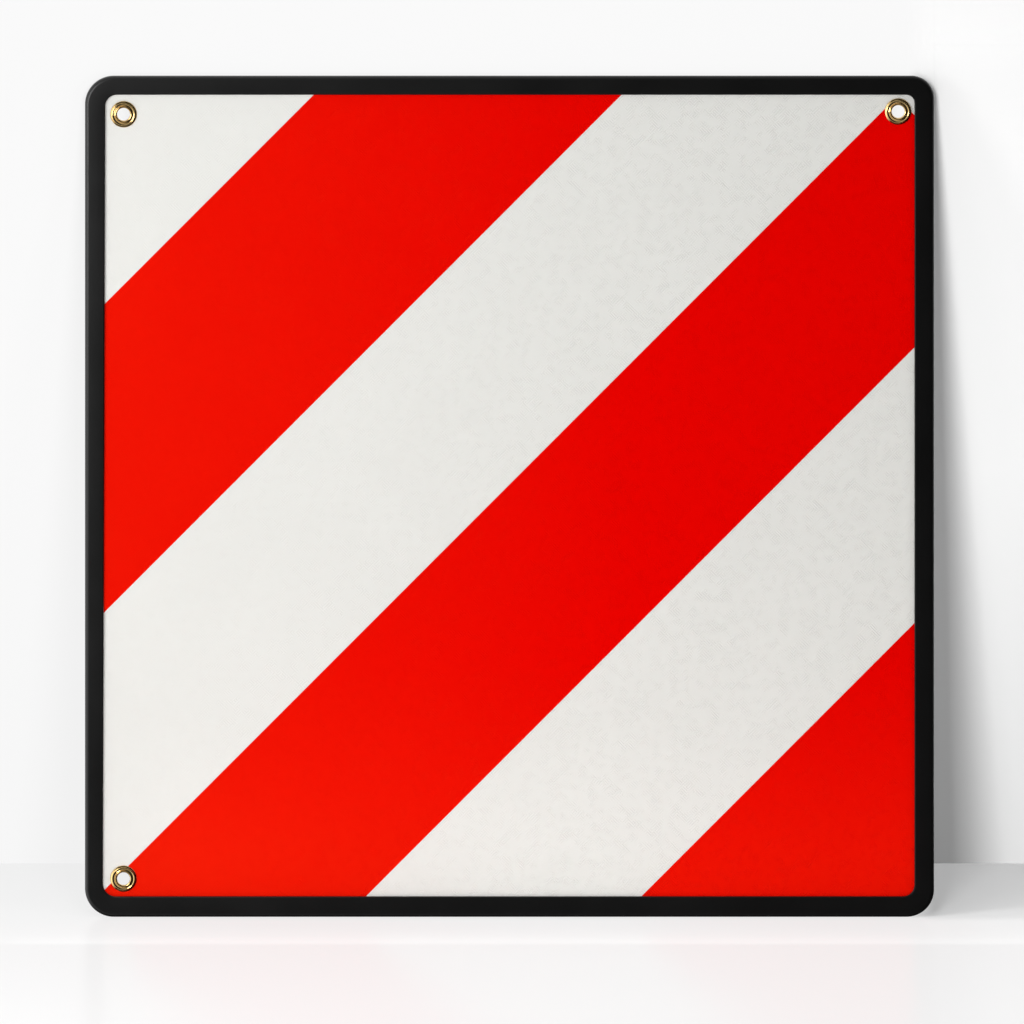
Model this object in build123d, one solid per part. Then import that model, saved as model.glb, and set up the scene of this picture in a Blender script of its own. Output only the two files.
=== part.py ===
from build123d import *

from math import cos, radians, sin
import os

# Overhanging load sign: a square sheet faced with white reflecting film and diagonal red stripes, a
# rubber trim pushed over its rim, and an eyelet in three of its corners.
# It stands upright. X is to the right, Z is up and the striped face looks towards -Y.
# The origin is at the foot of the trim, midway along it and midway through its thickness.
# Lengths are in millimetres and angles in degrees.

# Outside of the sign, over the trim
sign_width = 500.0
sign_height = 500.0
left_corner_radius = 17.0
upper_right_corner_radius = 13.3
lower_right_corner_radius = 16.1

# Sheet, film and ink, which make one flat stack
sheet_thickness = 1.5
film_thickness = 0.4
ink_thickness = 0.1
film_margin = 1.0

# Diagonal stripes that rise to the right, each width taken square to the stripes
stripe_angle = 45.3
upper_stripe_width = 128.9
upper_gap_width = 116.1
middle_stripe_width = 112.2
lower_gap_width = 115.3
# From the centre of the sign square to the upper edge of the middle stripe, which lies above it
middle_stripe_rise = 5.0
# From the centre of the upper right eyelet along the middle stripe to its end, which is cut off square
# with round corners
middle_stripe_overrun = 5.3
stripe_end_radius = 2.5

# Rubber trim, a U-section that grips the rim of the stack
web_thickness = 2.0
lip_thickness = 1.6
trim_depth = 10.8
trim_shoulder_radius = 2.0
trim_seat_clearance = 0.1

# Row of barbs inside each lip, which let the sheet in and bite when it is pulled
barb_height = 0.4
barb_pitch = 2.0
first_barb_gap = 1.6
lip_mouth = 1.0

# A round shoulder is drawn as short flats
shoulder_flats = 2

# Eyelets, each as far from the upright edge of the sign as from the level one
left_eyelet_inset = 22.7
right_eyelet_inset = 21.1
bore_radius = 3.8
brass_thickness = 0.5
hole_clearance = 0.25

# Rolled front end of the eyelet, highest beside the bore, and the flange behind the sheet
curl_overhang = 0.75
curl_height = 0.8
curl_slope_run = 0.6
flange_width = 2.9

# Washer under the rolled end, whose ridge is dished inside and slopes to the film outside
washer_clearance = 0.15
washer_groove_width = 0.1
washer_dish_run = 1.4
washer_ridge_width = 2.7
washer_ridge_height = 1.5

# Half of the stack, and the height of each joint in it above the middle, towards the viewer
stack_half = (sheet_thickness + film_thickness + ink_thickness) / 2
sheet_front = sheet_thickness - stack_half
film_front = sheet_front + film_thickness

# Radii of the eyelet and washer, worked outwards from the bore
barrel_outside = bore_radius + brass_thickness
hole_radius = barrel_outside + hole_clearance
curl_edge = barrel_outside + curl_overhang
flange_edge = barrel_outside + flange_width
washer_hole = barrel_outside + washer_clearance
washer_foot = curl_edge + washer_groove_width
washer_edge = washer_foot + washer_ridge_width

# Top of the flat of the washer, which the rolled end of the eyelet bears on
washer_flat = stack_half + brass_thickness

# Longer than any line across the sign
across = sign_width + sign_height

# Each eyelet's side in X, its side in Z and its inset
eyelets = {
    "top_left": (-1, 1, left_eyelet_inset),
    "top_right": (1, 1, right_eyelet_inset),
    "bottom_left": (-1, -1, left_eyelet_inset),
}


# Outline of the sign, moved inwards all round, as a closed line in the upright plane
def outline(inset):
    side = sign_width / 2 - inset
    foot = inset
    head = sign_height - inset
    corners = [(-side, foot), (side, foot), (side, head), (-side, head)]
    outer_radii = [
        left_corner_radius,
        lower_right_corner_radius,
        upper_right_corner_radius,
        left_corner_radius,
    ]
    radii = [radius - inset for radius in outer_radii]
    return Plane.XZ * FilletPolyline(*corners, radius=radii, close=True)


# Centre of an eyelet, to the right of the centre of the sign and above it
def eyelet_offset(name):
    side_x, side_z, inset = eyelets[name]
    return side_x * (sign_width / 2 - inset), side_z * (sign_height / 2 - inset)


def eyelet_place(name):
    x, z = eyelet_offset(name)
    return Pos(x, 0, sign_height / 2 + z)


# Flat layer of the stack between two heights, with room for every eyelet
def layer(shape, back, front):
    sheet = extrude(shape, amount=front - back, dir=(0, -1, 0)).moved(Pos(0, -back, 0))
    drill = Rot(90, 0, 0) * Cylinder(hole_radius, across)
    for name in eyelets:
        sheet -= eyelet_place(name) * drill
    return sheet


# Band across the sign along the stripes. Its upper and lower edges are given as distances below the
# sign's centre, square to the stripes, and its right-hand end as a distance along them.
def band(upper, lower, reach=across):
    centre = Plane.XZ * Pos(0, sign_height / 2) * Rot(0, 0, stripe_angle)
    end = Rectangle(2 * across, lower - upper).vertices().sort_by(Axis.X)[-2:]
    return centre * Pos(reach - across, -(upper + lower) / 2) * fillet(end, stripe_end_radius)


def panel():
    shape = make_face(outline(web_thickness + trim_seat_clearance))
    return layer(shape, -stack_half, sheet_front)


def film_shape():
    return make_face(outline(web_thickness + trim_seat_clearance + film_margin))


def white_film():
    return layer(film_shape(), sheet_front, film_front)


# From the centre of the sign along the middle stripe to its upper end
def middle_stripe_reach():
    x, z = eyelet_offset("top_right")
    rise = radians(stripe_angle)
    return x * cos(rise) + z * sin(rise) + middle_stripe_overrun


def red_stripes():
    middle_upper = -middle_stripe_rise
    middle_lower = middle_upper + middle_stripe_width
    upper_lower = middle_upper - upper_gap_width
    bands = {
        "red_stripe_upper": band(upper_lower - upper_stripe_width, upper_lower),
        "red_stripe_middle": band(middle_upper, middle_lower, middle_stripe_reach()),
        "red_corner": band(middle_lower + lower_gap_width, across),
    }
    return {name: layer(film_shape() & shape, film_front, stack_half) for name, shape in bands.items()}


# Round shoulder of the trim, from its back to the outside of a lip
def shoulder(outside):
    radius = min(trim_shoulder_radius, 0.8 * outside)
    turns = [radians(90 * step / shoulder_flats) for step in range(shoulder_flats + 1)]
    return [(outside - radius + radius * sin(turn), radius - radius * cos(turn)) for turn in turns]


# Saw teeth inside a lip, from its mouth to the web. Each steep side faces the web.
def barbs(wall, tip):
    row_length = trim_depth - web_thickness - first_barb_gap - lip_mouth
    first_barb = web_thickness + first_barb_gap
    points = []
    for row in reversed(range(int(row_length / barb_pitch))):
        bite = first_barb + row * barb_pitch
        points += [(wall, bite + barb_pitch), (tip, bite)]
    return points + [(wall, first_barb)]


# Section of the trim, with Y running inwards from the outer edge of the sign
def trim_section():
    wall = stack_half + barb_height
    outside = wall + lip_thickness
    half = shoulder(outside) + [(outside, trim_depth), (wall, trim_depth)]
    half += barbs(wall, stack_half) + [(wall, web_thickness)]
    mirrored = [(-x, y) for x, y in reversed(half)]
    return make_face(Polyline(*half, *mirrored, close=True))


def edge_trim():
    rim = outline(0)
    start = Plane(origin=rim @ 0, x_dir=(0, 1, 0), z_dir=rim % 0)
    return sweep(start * trim_section(), path=rim)


# Turns a brass section, drawn as radius and height above the middle, about an eyelet's axis
def turned(points):
    return Rot(180, 0, 0) * revolve(make_face(Polyline(*points, close=True)), Axis.Y)


# Barrel with a flange behind the sheet and a rolled end in front, closed on itself
def eyelet():
    back = -stack_half - brass_thickness
    head = washer_flat + curl_height
    points = [
        (bore_radius, back),
        (bore_radius, head),
        (curl_edge - curl_slope_run, head),
        (curl_edge, washer_flat),
        (barrel_outside, washer_flat),
        (barrel_outside, -stack_half),
        (flange_edge, -stack_half),
        (flange_edge, back),
    ]
    return turned(points)


def eyelet_washer():
    points = [
        (washer_hole, stack_half),
        (washer_hole, washer_flat),
        (washer_foot, washer_flat),
        (washer_foot + washer_dish_run, stack_half + washer_ridge_height),
        (washer_edge, stack_half),
    ]
    return turned(points)


parts = {
    "panel": panel(),
    "white_film": white_film(),
    **red_stripes(),
    "edge_trim": edge_trim(),
}
for name in eyelets:
    parts["eyelet_" + name] = eyelet_place(name) * eyelet()
    parts["eyelet_washer_" + name] = eyelet_place(name) * eyelet_washer()

os.makedirs("parts", exist_ok=True)
for node, shape in parts.items():
    export_step(shape, f"parts/{node}.step")
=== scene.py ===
import math

import bmesh
import bpy
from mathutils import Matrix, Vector

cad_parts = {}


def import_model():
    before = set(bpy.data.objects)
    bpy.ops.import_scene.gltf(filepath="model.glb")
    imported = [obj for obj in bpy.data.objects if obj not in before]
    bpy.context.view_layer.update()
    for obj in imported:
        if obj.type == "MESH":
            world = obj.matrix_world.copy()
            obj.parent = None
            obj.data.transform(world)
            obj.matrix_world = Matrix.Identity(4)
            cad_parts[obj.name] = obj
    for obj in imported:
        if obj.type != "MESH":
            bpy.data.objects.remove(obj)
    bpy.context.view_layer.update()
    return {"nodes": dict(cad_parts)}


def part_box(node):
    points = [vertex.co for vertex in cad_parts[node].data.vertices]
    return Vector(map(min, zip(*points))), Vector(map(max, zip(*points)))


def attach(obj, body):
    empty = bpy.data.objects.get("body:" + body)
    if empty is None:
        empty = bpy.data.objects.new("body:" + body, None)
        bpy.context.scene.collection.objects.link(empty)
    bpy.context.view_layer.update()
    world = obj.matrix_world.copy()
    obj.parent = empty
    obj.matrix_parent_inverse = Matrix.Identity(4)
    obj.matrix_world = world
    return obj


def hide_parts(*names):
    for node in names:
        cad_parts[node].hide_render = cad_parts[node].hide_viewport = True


# Overhanging load sign in a plain pale studio. Lengths are in metres and angles in degrees, in the frame of
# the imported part: X to the right, Z up, and the striped face looks towards -Y.
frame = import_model()

MM = 0.001
BODY = "root"

# Stack of sheet, film and ink between the lips of the trim
STACK_HALF = 1.0 * MM

# Keeps an edge just clear of what it lies against, or inside the solid that it replaces
HAIR = 0.02 * MM

# Rubber trim: outside corners and section
CORNERS = {
    "foot_left": 17.0 * MM,
    "top_left": 17.0 * MM,
    "top_right": 13.3 * MM,
    "foot_right": 16.1 * MM,
}
WEB = 2.0 * MM
LIP = 1.6 * MM
SHOULDER = 2.3 * MM
LIP_EDGE = 0.896 * MM
LIP_HEEL = 0.25 * MM
# Barb inside the mouth: its height, and how far its tip and its end lie behind the edge of the lip
BARB = 0.4 * MM
BARB_TIP = 2.4 * MM
BARB_END = 3.4 * MM
# Edge of the lip on the face: how far it reaches in at the left side's foot and head and on the other
# sides, and how round it is in the corners
LEFT_REACH = (10.5 * MM, 12.0 * MM)
TOP_REACH = 11.0 * MM
RIGHT_REACH = 11.5 * MM
FOOT_REACH = 12.3 * MM
LIP_CORNERS = {
    "foot_left": 7.6 * MM,
    "top_left": 6.8 * MM,
    "top_right": 4.8 * MM,
    "foot_right": 7.0 * MM,
}
# The lip's reach is found by halving the way from the web to this far in
FURTHEST_REACH = 20 * MM
HALVINGS = 30
# Stations along each side and round each corner
SIDE_STEPS = 60
CORNER_STEPS = 24

# Turned brass, as radius from the bore's axis and height above the middle of the stack
BORE = 3.8 * MM
BRASS = 0.5 * MM
TURN_STEPS = 128

# Eyelet: the rolled end in front, which rises straight to just under its crown and turns down past it, and
# the flange behind
CURL_RISE = 0.8 * MM
CURL_EDGE = 5.05 * MM
CURL_CROWN = 0.5 * MM
CURL_FALL = 30
CURL_END_HEIGHT = 0.25 * MM
BELOW_CROWN = 0.1 * MM
FLANGE_EDGE = 7.2 * MM
FLANGE_FLAT = 1.0 * MM
FLANGE_BEND = 0.5 * MM

# Washer: a dish that slopes up to a round ridge, a flat that falls outside it, and a low upright edge
WASHER_HOLE = 4.45 * MM
WASHER_DISH = 5.1 * MM
WASHER_DISH_ROUND = 0.6 * MM
WASHER_DISH_SLOPE = 32
WASHER_RIDGE = 6.45 * MM
WASHER_RISE = 1.4 * MM
WASHER_CROWN = 0.35 * MM
WASHER_FALL = 46
WASHER_EDGE = 7.85 * MM
WASHER_EDGE_HEIGHT = 0.36 * MM
WASHER_BEVEL_RUN = 0.1 * MM
WASHER_BEVEL_RISE = 0.12 * MM

# The photograph: its side, the width of the sign in it and the place of the sign's middle, in pixels, and
# how many degrees the camera looks down
PHOTO_SIDE = 1024
SIGN_PIXELS = 849.0
SIGN_MIDDLE = (509.5, 496.2)
CAMERA_RISE = 8
CAMERA_DISTANCE = 3.0

sign_low, sign_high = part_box("edge_trim")
sign_middle = (sign_low + sign_high) / 2
sign_width = sign_high.x - sign_low.x


# Shader nodes

class Nodes:
    """A tree of shader nodes, with short calls that add a node and return its socket."""

    def __init__(self, tree):
        self.tree = tree

    def node(self, kind, **settings):
        made = self.tree.nodes.new(kind)
        for name, value in settings.items():
            setattr(made, name, value)
        return made

    def plug(self, source, target):
        if isinstance(source, bpy.types.NodeSocket):
            self.tree.links.new(source, target)
        else:
            target.default_value = source

    def place(self):
        return self.node("ShaderNodeTexCoord").outputs["Object"]

    def axis(self, source, letter):
        split = self.node("ShaderNodeSeparateXYZ")
        self.plug(source, split.inputs[0])
        return split.outputs[letter]

    def math(self, operation, *values):
        made = self.node("ShaderNodeMath", operation=operation)
        for value, target in zip(values, made.inputs):
            self.plug(value, target)
        return made.outputs[0]

    def noise(self, vector, scale, detail=2.0, roughness=0.5):
        made = self.node("ShaderNodeTexNoise")
        self.plug(vector, made.inputs["Vector"])
        made.inputs["Scale"].default_value = scale
        made.inputs["Detail"].default_value = detail
        made.inputs["Roughness"].default_value = roughness
        return made.outputs["Fac"]

    def stretch(self, vector, scale):
        made = self.node("ShaderNodeMapping")
        self.plug(vector, made.inputs["Vector"])
        made.inputs["Scale"].default_value = scale
        return made.outputs[0]

    def ramp(self, value, low, high, to_low=0.0, to_high=1.0):
        made = self.node("ShaderNodeMapRange")
        self.plug(value, made.inputs["Value"])
        for name, number in (("From Min", low), ("From Max", high), ("To Min", to_low), ("To Max", to_high)):
            made.inputs[name].default_value = number
        return made.outputs[0]

    def mix(self, factor, first, second):
        made = self.node("ShaderNodeMix", data_type="FLOAT")
        for name, value in (("Factor", factor), ("A", first), ("B", second)):
            self.plug(value, made.inputs[name])
        return made.outputs["Result"]

    def tint(self, factor, dark, light):
        made = self.node("ShaderNodeMix", data_type="RGBA")
        self.plug(factor, made.inputs["Factor"])
        made.inputs["A"].default_value = (*dark, 1)
        made.inputs["B"].default_value = (*light, 1)
        return made.outputs["Result"]

    def blend(self, factor, first, second):
        made = self.node("ShaderNodeMixShader")
        for value, target in zip((factor, first, second), made.inputs):
            self.plug(value, target)
        return made.outputs[0]


class Shader(Nodes):
    """A material and the one surface in its node tree."""

    def __init__(self, name):
        self.material = bpy.data.materials.new(name)
        self.material.use_nodes = True
        super().__init__(self.material.node_tree)
        self.surface = self.tree.nodes["Principled BSDF"]

    def bump(self, height, distance, strength=1.0):
        made = self.node("ShaderNodeBump")
        self.plug(height, made.inputs["Height"])
        made.inputs["Distance"].default_value = distance
        made.inputs["Strength"].default_value = strength
        self.plug(made.outputs[0], self.surface.inputs["Normal"])

    def set(self, **values):
        for name, value in values.items():
            self.plug(value, self.surface.inputs[name.replace("_", " ")])


# Weave pressed into the film: from stroke to stroke, how deep it is, and how strongly it paints shade into
# the colour of its grooves and light onto its ridges
WEAVE_PITCH = 1.3 * MM
WEAVE_DEPTH = 0.09 * MM
WEAVE_PAINTED_SHADE = 1.1


# Height of the fine basket weave: short strokes at 45 degrees that change hand from patch to patch
def weave(shader, place):
    turn = 2 * math.pi / WEAVE_PITCH / math.sqrt(2)
    x = shader.axis(place, "X")
    z = shader.axis(place, "Z")
    strokes = []
    for operation in ("ADD", "SUBTRACT"):
        along = shader.math("MULTIPLY", shader.math(operation, x, z), turn)
        strokes.append(shader.math("SINE", along))
    patch = shader.ramp(shader.noise(place, 400, 2.0), 0.46, 0.54)
    either = shader.mix(patch, *strokes)
    # The weave fades towards the film's left side, in bump and in painted shade, as painted light that
    # washes it out where the light is brightest
    strength = shader.ramp(shader.noise(place, 170, 3.0), 0.44, 0.6)
    side = shader.ramp(x, sign_low.x, sign_middle.x + 50 * MM, 0.15, 1)
    return shader.math("MULTIPLY", either, shader.math("MULTIPLY", strength, side))


# Painted sheen: the film's gloss is raised beside its left side and towards its foot, where light falls from
# the left and from the floor, and is low elsewhere
def film_painted_sheen(shader, place):
    left = shader.ramp(shader.axis(place, "X"), sign_low.x, sign_middle.x + 75 * MM, 0.65, 0.03)
    foot = shader.ramp(shader.axis(place, "Z"), 0, 150 * MM, 0.5, 0)
    return shader.math("ADD", left, foot)


def film(name, dark, light, sheen):
    shader = Shader(name)
    place = shader.place()
    relief = weave(shader, place)
    cloud = shader.noise(place, 14, 3.0)
    # Painted shade and light: the colour darkens in the weave's grooves and lightens on its ridges,
    # following the bump
    painted_weave_shade = shader.math("MULTIPLY", relief, WEAVE_PAINTED_SHADE)
    clouded = shader.ramp(cloud, 0.3, 0.7, 0.42, 0.58)
    shader.set(
        Base_Color=shader.tint(shader.math("ADD", painted_weave_shade, clouded), dark, light),
        Roughness=shader.ramp(cloud, 0.3, 0.7, 0.32, 0.38),
        Specular_IOR_Level=film_painted_sheen(shader, place),
        Specular_Tint=(*sheen, 1),
    )
    shader.bump(relief, WEAVE_DEPTH)
    return shader.material


# Satin black, with a painted sheen: its gloss is raised towards the left side, where the room is brightest
def rubber():
    shader = Shader("trim_rubber")
    place = shader.place()
    grain = shader.noise(place, 900, 3.0, 0.6)
    smear = shader.noise(place, 16, 3.0)
    shader.set(
        Base_Color=shader.tint(smear, (0.0025, 0.0025, 0.0025), (0.004, 0.004, 0.004)),
        Roughness=shader.ramp(smear, 0.3, 0.7, 0.36, 0.44),
        # Painted sheen: the gloss falls off from the left side to the right
        Specular_IOR_Level=shader.ramp(shader.axis(place, "X"), sign_low.x, sign_high.x, 0.55, 0.22),
    )
    shader.bump(grain, 0.03 * MM, 0.5)
    return shader.material


def brass():
    shader = Shader("polished_brass")
    place = shader.place()
    turning = shader.noise(place, 1500, 2.0)
    tarnish = shader.noise(place, 350, 3.0, 0.6)
    shader.set(
        Base_Color=shader.tint(tarnish, (0.80, 0.52, 0.2), (0.92, 0.68, 0.31)),
        Metallic=1.0,
        Roughness=shader.ramp(tarnish, 0.3, 0.7, 0.08, 0.13),
    )
    shader.bump(turning, 0.003 * MM, 0.3)
    return shader.material


def aluminium():
    shader = Shader("mill_aluminium")
    place = shader.place()
    # Fine rolling lines that run across the sheet
    rolling = shader.noise(shader.stretch(place, (3, 1, 900)), 1.0, 6.0, 0.65)
    patches = shader.noise(place, 9, 3.0)
    shader.set(
        Base_Color=shader.tint(rolling, (0.56, 0.57, 0.58), (0.74, 0.75, 0.76)),
        Metallic=1.0,
        Roughness=shader.ramp(patches, 0.3, 0.7, 0.36, 0.5),
    )
    shader.bump(rolling, 0.02 * MM, 0.5)
    return shader.material


# Mesh building

def mesh_piece(name, rings, material):
    """Skin over closed rings of points, one after another along a closed path."""
    made = bmesh.new()
    rows = [[made.verts.new(point) for point in ring] for ring in rings]
    for here, there in zip(rows, rows[1:] + rows[:1]):
        for side in range(len(here)):
            after = (side + 1) % len(here)
            made.faces.new((here[side], there[side], there[after], here[after]))
    bmesh.ops.recalc_face_normals(made, faces=made.faces)
    mesh = bpy.data.meshes.new(name)
    made.to_mesh(mesh)
    made.free()
    for face in mesh.polygons:
        face.use_smooth = True
    piece = bpy.data.objects.new(name, mesh)
    bpy.context.scene.collection.objects.link(piece)
    mesh.materials.append(material)
    return piece


def arc(middle, radius, start, end, steps):
    turns = [math.radians(start + (end - start) * step / steps) for step in range(steps + 1)]
    return [(middle[0] + radius * math.cos(turn), middle[1] + radius * math.sin(turn)) for turn in turns]


# Edge trim

def trim_section(reach):
    """Closed section, as distance inwards from the edge of the sign and height above the stack's middle."""
    wall = STACK_HALF + BARB
    outside = wall + LIP
    half = arc((SHOULDER, outside - SHOULDER), SHOULDER, 180, 90, 14)
    half += arc((reach - LIP_EDGE, outside - LIP_EDGE), LIP_EDGE, 90, 0, 8)
    half += arc((reach - LIP_HEEL, wall + LIP_HEEL), LIP_HEEL, 0, -90, 4)
    half += [(reach - BARB_TIP, STACK_HALF + HAIR / 2), (reach - BARB_END, wall), (WEB, wall)]
    return half + [(inward, -height) for inward, height in reversed(half)]


# How far a point of the face lies inside the edge of the lip, which has its own radius in each corner
def inside_lip(point):
    rise = (point.y - sign_low.z) / (sign_high.z - sign_low.z)
    left_reach = LEFT_REACH[0] + (LEFT_REACH[1] - LEFT_REACH[0]) * rise
    across = {
        "left": point.x - sign_low.x - left_reach,
        "right": sign_high.x - RIGHT_REACH - point.x,
    }
    upright = {
        "foot": point.y - sign_low.z - FOOT_REACH,
        "top": sign_high.z - TOP_REACH - point.y,
    }
    side = min(across, key=across.get)
    end = min(upright, key=upright.get)
    radius = LIP_CORNERS[end + "_" + side]
    x, y = across[side], upright[end]
    if x < radius and y < radius:
        return radius - math.hypot(radius - x, radius - y)
    return min(x, y)


# Distance from the outer edge to the edge of the lip, found by halving
def lip_reach(edge, inward):
    near, far = WEB, FURTHEST_REACH
    for halving in range(HALVINGS):
        middle = (near + far) / 2
        if inside_lip(edge + inward * middle) < 0:
            near = middle
        else:
            far = middle
    return near


# Stations round the rim: point on its outer edge and direction inwards
def rim_stations():
    corners = {
        "foot_left": Vector((sign_low.x, sign_low.z)),
        "top_left": Vector((sign_low.x, sign_high.z)),
        "top_right": Vector((sign_high.x, sign_high.z)),
        "foot_right": Vector((sign_high.x, sign_low.z)),
    }
    middle = Vector((sign_middle.x, sign_middle.z))
    stations = []
    names = list(corners)
    for index, name in enumerate(names):
        radius = CORNERS[name]
        towards = middle - corners[name]
        centre = corners[name] + Vector((math.copysign(radius, towards.x), math.copysign(radius, towards.y)))
        for step in range(CORNER_STEPS):
            turn = math.radians(270 - 90 * (index + step / CORNER_STEPS))
            outward = Vector((math.cos(turn), math.sin(turn)))
            stations.append((centre + outward * radius, -outward))
        turn = math.radians(180 - 90 * index)
        outward = Vector((math.cos(turn), math.sin(turn)))
        begin = centre + outward * radius
        after = names[(index + 1) % len(names)]
        run = corners[after] - corners[name]
        length = run.length - radius - CORNERS[after]
        for step in range(SIDE_STEPS):
            # Closer together towards the corners, where the lip's edge bends
            share = (1 - math.cos(math.pi * step / SIDE_STEPS)) / 2
            stations.append((begin + run.normalized() * length * share, -outward))
    return stations


def trim(material):
    rings = []
    for edge, inward in rim_stations():
        ring = []
        for depth, height in trim_section(lip_reach(edge, inward)):
            point = edge + inward * depth
            ring.append((point.x, -height, point.y))
        rings.append(ring)
    piece = mesh_piece("edge_trim_rubber", rings, material)
    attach(piece, BODY)
    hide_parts("edge_trim")
    return piece


# Brass eyelets

def strip(line, thickness):
    """Closed outline of a bent strip, from the points along its middle."""
    sides = ([], [])
    for index, point in enumerate(line):
        before = Vector(line[max(index - 1, 0)])
        after = Vector(line[min(index + 1, len(line) - 1)])
        along = (after - before).normalized()
        across = Vector((-along.y, along.x)) * thickness / 2
        sides[0].append(Vector(point) + across)
        sides[1].append(Vector(point) - across)
    return [tuple(point) for point in sides[0]] + [tuple(point) for point in reversed(sides[1])]


def turned(name, outline, node, material):
    """Outline of radius and height, turned about the axis of the eyelet that the node belongs to."""
    low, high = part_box(node)
    middle = (low + high) / 2
    rings = []
    for step in range(TURN_STEPS):
        turn = 2 * math.pi * step / TURN_STEPS
        rings.append([
            (middle.x + radius * math.cos(turn), -height, middle.z + radius * math.sin(turn))
            for radius, height in outline
        ])
    piece = mesh_piece(name, rings, material)
    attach(piece, BODY)
    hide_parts(node)
    return piece


# Flange, barrel and rolled end
def eyelet_outline():
    half = BRASS / 2
    barrel = BORE + half
    flange = -STACK_HALF - half
    crown_height = STACK_HALF + BRASS + CURL_RISE - half - CURL_CROWN
    line = [(FLANGE_EDGE - HAIR, flange), (FLANGE_EDGE - FLANGE_FLAT, flange)]
    line += arc((barrel + FLANGE_BEND, flange + FLANGE_BEND), FLANGE_BEND, 270, 180, 8)
    line += [(barrel, crown_height - BELOW_CROWN)]
    line += arc((barrel + CURL_CROWN, crown_height), CURL_CROWN, 180, 90 - CURL_FALL, 20)
    line += [(CURL_EDGE - half, crown_height + CURL_END_HEIGHT)]
    return strip(line, BRASS)


def washer_outline():
    half = BRASS / 2
    flat = STACK_HALF + half
    crown_height = STACK_HALF + WASHER_RISE - half - WASHER_CROWN
    dish = (WASHER_DISH, flat + WASHER_DISH_ROUND)
    line = [(WASHER_HOLE, flat)]
    line += arc(dish, WASHER_DISH_ROUND, 270, 270 + WASHER_DISH_SLOPE, 8)
    line += arc((WASHER_RIDGE, crown_height), WASHER_CROWN, 90 + WASHER_DISH_SLOPE, 90 - WASHER_FALL, 20)
    # Points near both ends of the slope keep it flat between them
    edge = WASHER_EDGE - half
    slope_top = Vector(line[-1])
    slope_foot = Vector((edge - WASHER_BEVEL_RUN, STACK_HALF + WASHER_EDGE_HEIGHT + WASHER_BEVEL_RISE))
    line += [tuple(slope_top.lerp(slope_foot, share)) for share in (0.1, 0.2, 0.9, 1)]
    line += [(edge, STACK_HALF + WASHER_EDGE_HEIGHT), (edge, STACK_HALF + HAIR)]
    return strip(line, BRASS)


# Stage

STAGE_REACH = 4.0
FLOOR_ALBEDO = (0.93, 0.93)
FLOOR_WHITE = 0.94
FLOOR_SHADE = 0.2
FLOOR_GLOSS = 0.08
# The wall leans towards the top of the sign, as the sign leans on a wall in the photograph
WALL_FOOT = 225 * MM
WALL_TOP_GAP = 8 * MM
WALL_HEIGHT = 1.6
# The wall is darker towards its top: painted shade that evens out the stronger light of the lamps there
WALL_ALBEDO = (0.335, 0.275)
WALL_WHITE = 0.945
WALL_SHADE = 0.1
# Where the shading sets in, to the left of the sign's right side and in front of its face
SHADE_LEAD_LEFT = 15 * MM
SHADE_LEAD_FRONT = 20 * MM


def pale(name, albedo, white, least_shade, gloss, one_sided):
    """Pale matt stage, with one albedo up to half the sign's height and another from its head up. It shows
    lit and shaded beside and behind the sign, to its right, where the long shadow falls. Elsewhere it shows
    mostly a plain white, with a share of the shading. One-sided, it is clear from behind."""
    shader = Shader(name)
    place = shader.place()
    rise = shader.ramp(shader.axis(place, "Z"), sign_middle.z, sign_high.z)
    foot, head = albedo
    shader.set(
        Base_Color=shader.tint(rise, (foot, foot, foot), (head, head, head)),
        Roughness=0.7,
        Specular_IOR_Level=0.0,
    )
    beside = shader.ramp(shader.axis(place, "X"), sign_high.x - SHADE_LEAD_LEFT, sign_high.x)
    behind = shader.ramp(shader.axis(place, "Y"), -SHADE_LEAD_FRONT, 0)
    shaded = shader.ramp(shader.math("MULTIPLY", beside, behind), 0, 1, least_shade, 1)
    path = shader.node("ShaderNodeLightPath")
    seen = shader.math("MAXIMUM", path.outputs["Is Camera Ray"], path.outputs["Is Glossy Ray"])
    seen = shader.math("MAXIMUM", seen, path.outputs["Is Transmission Ray"])
    unseen = shader.math("SUBTRACT", 1, seen)
    glow = shader.node("ShaderNodeEmission")
    glow.inputs["Color"].default_value = (white, white, white, 1)
    look = shader.blend(
        shader.math("MAXIMUM", shaded, unseen),
        glow.outputs[0],
        shader.surface.outputs[0],
    )
    mirror = shader.node("ShaderNodeBsdfGlossy")
    mirror.inputs["Roughness"].default_value = 0.2
    look = shader.blend(gloss, look, mirror.outputs[0])
    if one_sided:
        facing = shader.node("ShaderNodeNewGeometry").outputs["Backfacing"]
        clear = shader.node("ShaderNodeBsdfTransparent")
        look = shader.blend(facing, look, clear.outputs[0])
    shader.plug(look, shader.tree.nodes["Material Output"].inputs["Surface"])
    return shader.material


def stage_plane(name, corners, material):
    mesh = bpy.data.meshes.new(name)
    mesh.from_pydata(corners, [], [range(len(corners))])
    plane = bpy.data.objects.new(name, mesh)
    bpy.context.scene.collection.objects.link(plane)
    mesh.materials.append(material)
    return plane


def pale_floor():
    reach = STAGE_REACH
    corners = [(-reach, -reach, 0), (reach, -reach, 0), (reach, reach, 0), (-reach, reach, 0)]
    paint = pale("pale_floor", FLOOR_ALBEDO, FLOOR_WHITE, FLOOR_SHADE, FLOOR_GLOSS, False)
    floor = stage_plane("floor", corners, paint)
    floor.visible_glossy = False
    return floor


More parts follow.
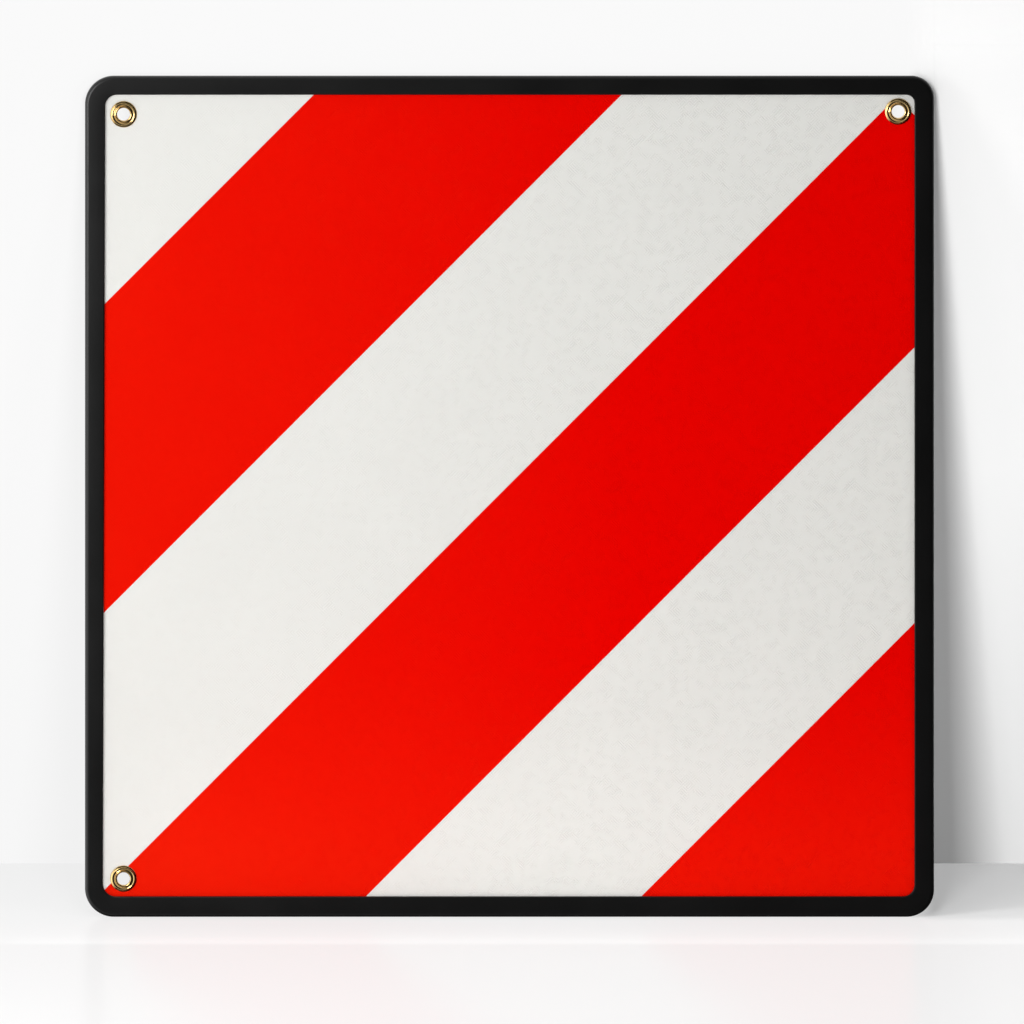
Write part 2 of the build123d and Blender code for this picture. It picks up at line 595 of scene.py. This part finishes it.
def pale_wall():
    reach = STAGE_REACH
    lean = (WALL_FOOT - WALL_TOP_GAP) / sign_high.z
    top = WALL_FOOT - lean * WALL_HEIGHT
    corners = [
        (-reach, WALL_FOOT, 0),
        (reach, WALL_FOOT, 0),
        (reach, top, WALL_HEIGHT),
        (-reach, top, WALL_HEIGHT),
    ]
    paint = pale("pale_wall", WALL_ALBEDO, WALL_WHITE, WALL_SHADE, 0.0, True)
    wall = stage_plane("wall", corners, paint)
    wall.visible_shadow = False
    wall.visible_diffuse = False
    return wall


# World

# Light that falls on matt surfaces from all round
AMBIENT = 0.44
# What the gloss shows: a white ring round the camera, faint to the right, a brighter studio to the far
# left, and dark elsewhere. Each edge lies between two values of the direction's Y or X.
RING_WHITE = 0.95
RING_INNER_EDGE = (-0.92, -0.75)
RING_INSIDE = 0.015
RING_OUTER_EDGE = (-0.62, -0.48)
RING_OUTSIDE = 0.02
RING_RIGHT_EDGE = (-0.15, 0.3)
RING_RIGHT = 0.06
STUDIO_EDGE = (-0.95, -0.55)
STUDIO_WHITE = 1.8


def world():
    made = bpy.data.worlds.new("studio")
    bpy.context.scene.world = made
    made.use_nodes = True
    shader = Nodes(made.node_tree)
    direction = shader.node("ShaderNodeTexCoord").outputs["Generated"]
    across = shader.axis(direction, "X")
    ahead = shader.axis(direction, "Y")
    inner = shader.ramp(ahead, *RING_INNER_EDGE, RING_INSIDE, RING_WHITE)
    outer = shader.ramp(ahead, *RING_OUTER_EDGE, 1, RING_OUTSIDE)
    right = shader.ramp(across, *RING_RIGHT_EDGE, 1, RING_RIGHT)
    ring = shader.math("MULTIPLY", shader.math("MULTIPLY", inner, outer), right)
    studio = shader.ramp(across, *STUDIO_EDGE, STUDIO_WHITE, 0)
    gloss = shader.math("MAXIMUM", ring, studio)
    path = shader.node("ShaderNodeLightPath")
    strength = AMBIENT
    for ray, seen in (("Is Glossy Ray", gloss), ("Is Camera Ray", 1.0), ("Is Transmission Ray", 1.0)):
        strength = shader.mix(path.outputs[ray], strength, seen)
    background = made.node_tree.nodes["Background"]
    shader.plug(strength, background.inputs["Strength"])
    background.inputs["Color"].default_value = (1, 1, 1, 1)


# Lamps: place, size and power. All but the foot lamp and the overhead floor lamp face the sign's middle.

KEY_PLACE = (-0.7, -1.9, 0.3)
KEY_SIZE = (0.45, 0.18)
KEY_POWER = 2.2
SOFTBOX_PLACE = (-0.66, -0.75, 0.5)
SOFTBOX_SIZE = (0.3, 0.4)
SOFTBOX_POWER = 3.6
FOOT_LAMP_PLACE = (0.05, -0.12, 0.02)
FOOT_LAMP_SIZE = (0.7, 0.02)
FOOT_LAMP_POWER = 0.08
SHADOW_LAMP_PLACE = (0.0, -2.1, 0.8)
SHADOW_LAMP_SIZE = (0.3, 0.3)
WALL_SHADOW_POWER = 92
FLOOR_SHADOW_POWER = 21
LOW_WALL_LAMP_PLACE = (-0.1, -2.1, 0.25)
LOW_WALL_LAMP_POWER = 24
SIDE_WALL_LAMP_PLACE = (0.5, -1.6, 0.2)
SIDE_WALL_LAMP_POWER = 13
FLOOR_LAMP_PLACE = (0.0, -0.45, 1.0)
FLOOR_LAMP_SIZE = (0.9, 0.5)
FLOOR_LAMP_POWER = 3.0


def lamp(name, place, size, power):
    light = bpy.data.lights.new(name, "AREA")
    light.shape = "RECTANGLE"
    light.size, light.size_y = size
    light.energy = power
    holder = bpy.data.objects.new(name, light)
    holder.location = place
    holder.rotation_euler = (sign_middle - Vector(place)).to_track_quat("-Z", "Y").to_euler()
    holder.visible_camera = False
    bpy.context.scene.collection.objects.link(holder)
    return holder


# A lamp that lights only one piece of the stage
def only_on(plane, name, place, size, power):
    holder = lamp(name, place, size, power)
    receivers = bpy.data.collections.new(name)
    receivers.objects.link(plane)
    holder.light_linking.receiver_collection = receivers
    return holder


def lamps(floor, wall):
    lamp("key", KEY_PLACE, KEY_SIZE, KEY_POWER).visible_glossy = False
    lamp("softbox", SOFTBOX_PLACE, SOFTBOX_SIZE, SOFTBOX_POWER)
    # Light thrown back at the lower part of the sign by the floor in front of it
    foot_lamp = lamp("foot_lamp", FOOT_LAMP_PLACE, FOOT_LAMP_SIZE, FOOT_LAMP_POWER)
    foot_lamp.visible_glossy = False
    foot_lamp.rotation_euler = (math.radians(90), 0, 0)
    # Lamps on the stage alone cast the sign's shadow and whiten the floor, and add no light to the sign
    only_on(wall, "wall_lamp", SHADOW_LAMP_PLACE, SHADOW_LAMP_SIZE, WALL_SHADOW_POWER)
    only_on(wall, "low_wall_lamp", LOW_WALL_LAMP_PLACE, SHADOW_LAMP_SIZE, LOW_WALL_LAMP_POWER)
    only_on(wall, "side_wall_lamp", SIDE_WALL_LAMP_PLACE, SHADOW_LAMP_SIZE, SIDE_WALL_LAMP_POWER)
    only_on(floor, "floor_shadow_lamp", SHADOW_LAMP_PLACE, SHADOW_LAMP_SIZE, FLOOR_SHADOW_POWER)
    overhead = only_on(floor, "floor_lamp", FLOOR_LAMP_PLACE, FLOOR_LAMP_SIZE, FLOOR_LAMP_POWER)
    overhead.rotation_euler = (0, 0, 0)


def camera():
    rise = math.radians(CAMERA_RISE)
    back = Vector((0, -math.cos(rise), math.sin(rise)))
    up = Vector((0, math.sin(rise), math.cos(rise)))
    pixel = sign_width / SIGN_PIXELS
    right_of_sign = (PHOTO_SIDE / 2 - SIGN_MIDDLE[0]) * pixel
    below_sign = (PHOTO_SIDE / 2 - SIGN_MIDDLE[1]) * pixel
    aim = sign_middle + Vector((right_of_sign, 0, 0)) - up * below_sign
    view = bpy.data.cameras.new("camera")
    view.type = "ORTHO"
    view.ortho_scale = PHOTO_SIDE * pixel
    view.clip_end = 50
    holder = bpy.data.objects.new("camera", view)
    holder.location = aim + back * CAMERA_DISTANCE
    holder.rotation_euler = back.to_track_quat("Z", "Y").to_euler()
    bpy.context.scene.collection.objects.link(holder)
    bpy.context.scene.camera = holder


def dress(node, material):
    mesh = frame["nodes"][node].data
    mesh.materials.clear()
    mesh.materials.append(material)


dress("white_film", film("white_film", (0.76, 0.76, 0.725), (0.84, 0.84, 0.805), (1, 1, 1)))
red = film("red_film", (0.77, 0.0003, 0.0), (0.87, 0.0006, 0.0), (1, 0.16, 0.03))
for node in ("red_stripe_upper", "red_stripe_middle", "red_corner"):
    dress(node, red)
dress("panel", aluminium())
trim(rubber())
polished = brass()
for corner in ("top_left", "top_right", "bottom_left"):
    turned("eyelet_turned_" + corner, eyelet_outline(), "eyelet_" + corner, polished)
    turned("washer_turned_" + corner, washer_outline(), "eyelet_washer_" + corner, polished)

world()
lamps(pale_floor(), pale_wall())
camera()
bpy.context.scene.view_settings.view_transform = "Standard"
